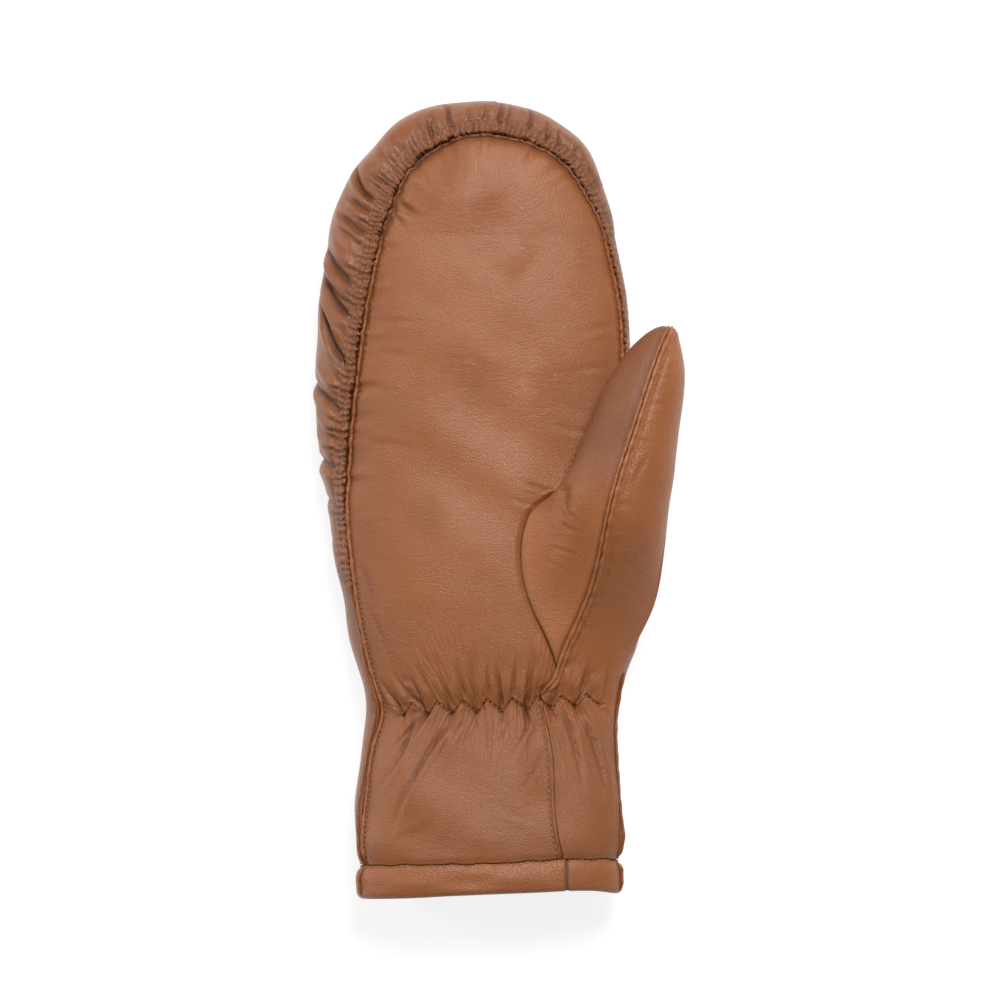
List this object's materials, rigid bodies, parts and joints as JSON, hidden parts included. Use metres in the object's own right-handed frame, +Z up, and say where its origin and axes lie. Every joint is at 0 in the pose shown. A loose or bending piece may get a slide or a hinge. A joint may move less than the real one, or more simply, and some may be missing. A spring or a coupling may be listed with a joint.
{
  "type": "leather mitten, right hand",
  "caption": "Right-hand leather mitten lying palm up, with a set-in thumb, a ruched border over the fingertips, an elastic wrist and a turned hem.",
  "frame": {"origin": "on the floor, under the middle of the mitten's box, with the back of the hand resting on the floor", "axes": "+Y along the mitten from the cuff to the fingertips, +X across the hand to the thumb's side, +Z up out of the palm"},
  "size_m": [0.1236, 0.2658, 0.0499],
  "materials": {
    "leather": "satin"
  },
  "bodies": {
    "root": {"palm_panel": "leather", "back_panel": "leather", "thumb_inner_panel": "leather", "thumb_outer_panel": "leather", "cuff_hem": "leather"}
  },
  "joints": []
}
